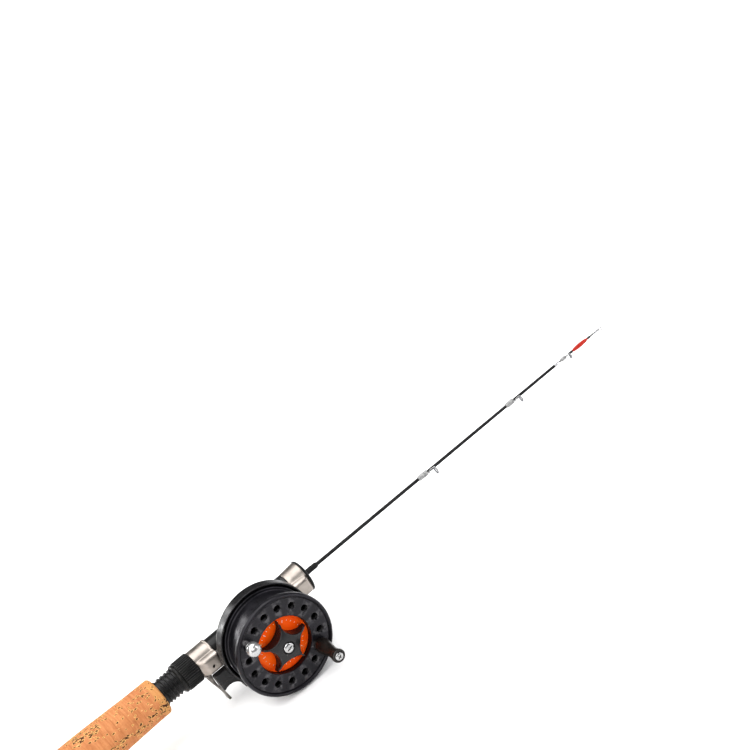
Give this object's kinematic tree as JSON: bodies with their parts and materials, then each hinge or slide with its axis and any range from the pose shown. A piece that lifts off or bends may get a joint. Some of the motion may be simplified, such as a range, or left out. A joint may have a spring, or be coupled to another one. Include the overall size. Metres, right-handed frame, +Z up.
{
  "type": "ice fishing rod",
  "caption": "Short ice fishing rod with a cork grip, a screw-locked reel seat, a side-mounted spool reel with a star knob, wire guides and a fine tip with a red bite marker.",
  "frame": {"origin": "on the rod's axis, at the rear face of the cork grip", "axes": "+X along the rod towards its tip; -Y is the side that the reel and its winding knob face; +Z up, away from the side that the reel axis and the finger spur are offset to"},
  "size_m": [0.4598, 0.0722, 0.06],
  "materials": {
    "cork": "matt, fine-grained cork with dark pits",
    "butt_rubber": "matt",
    "core_fibre": "matt wound fibre tube",
    "seat_black": "semi-gloss moulded",
    "nut_black": "satin moulded",
    "hood_metal": "bright, lightly polished",
    "spur_metal": "dark, worn",
    "blank_black": "lacquered carbon fibre",
    "tip_fibre": "lacquered glass fibre",
    "guide_metal": "polished",
    "insert_grey": "polished ceramic",
    "wrap_thread": "lacquered thread",
    "float_red": "bright painted",
    "stop_black": "matt",
    "reel_black": "satin black",
    "spool_black": "satin black anodised",
    "disc_orange": "satin",
    "star_black": "satin moulded",
    "screw_steel": "plain",
    "screw_chrome": "polished",
    "ball_chrome": "polished",
    "shaft_steel": "ground",
    "bearing_steel": "ground",
    "click_brass": "plain",
    "washer_fibre": "matt"
  },
  "bodies": {
    "root": {"rear_grip": "cork", "butt_cap": "butt_rubber", "handle_core": "core_fibre", "seat_barrel": "seat_black", "front_hood": "hood_metal", "front_cap": "seat_black", "blank_sleeve": "blank_black", "blank": "blank_black", "tip_section": "tip_fibre", "tip_ferrule": "guide_metal", "tip_float": "float_red", "float_stops": "stop_black", "tip_top": "guide_metal", "guide_large": "guide_metal", "guide_middle": "guide_metal", "guide_small": "guide_metal", "guide_inserts": "insert_grey", "guide_wraps": "wrap_thread", "reel_frame": "reel_black", "reel_foot": "reel_black", "foot_screws": "screw_steel", "spindle": "shaft_steel", "click_spring": "shaft_steel", "star_screw": "screw_chrome", "friction_washer": "washer_fibre", "spring_washer": "shaft_steel"},
    "sliding_hood": {"rear_hood": "hood_metal", "hood_spur": "spur_metal"},
    "nut": {"locking_nut": "nut_black"},
    "spool": {"spool": "spool_black", "spool_disc": "disc_orange", "click_gear": "click_brass", "rear_bearing": "bearing_steel", "front_bearing": "bearing_steel", "knob_washer": "click_brass", "handle_post": "screw_chrome", "balance_weight": "ball_chrome"},
    "winding_knob": {"handle_knob": "star_black"},
    "star": {"star_knob": "star_black"},
    "click": {"click_pawl": "shaft_steel", "click_shaft": "shaft_steel", "click_knob": "nut_black"}
  },
  "joints": [
    {"name": "spool_spin", "type": "hinge", "parent": "root", "child": "spool", "pos_m": [0.1803, -0.03, -0.0015], "axis": [0, -1, 0], "continuous": true},
    {"name": "knob_spin", "type": "hinge", "parent": "spool", "child": "winding_knob", "pos_m": [0.19761, -0.05, -0.01603], "axis": [0, -1, 0], "continuous": true},
    {"name": "star_turn", "type": "hinge", "parent": "root", "child": "star", "pos_m": [0.1803, -0.038, -0.0015], "axis": [0, -1, 0], "range_deg": [-180, 180]},
    {"name": "click_set", "type": "hinge", "parent": "root", "child": "click", "pos_m": [0.1803, -0.012, -0.0159], "axis": [0, -1, 0], "range_deg": [0, 60]},
    {"name": "hood_slide", "type": "slide", "parent": "root", "child": "sliding_hood", "axis": [-1, 0, 0], "range_m": [0, 0.0075]},
    {"name": "nut_turn", "type": "hinge", "parent": "sliding_hood", "child": "nut", "pos_m": [0.1348, 0, 0], "axis": [-1, 0, 0], "range_deg": [0, 1081]}
  ],
  "couplings": [
    {"joint": "nut_turn", "follows": "hood_slide", "rad_per_m": 2513.3}
  ]
}
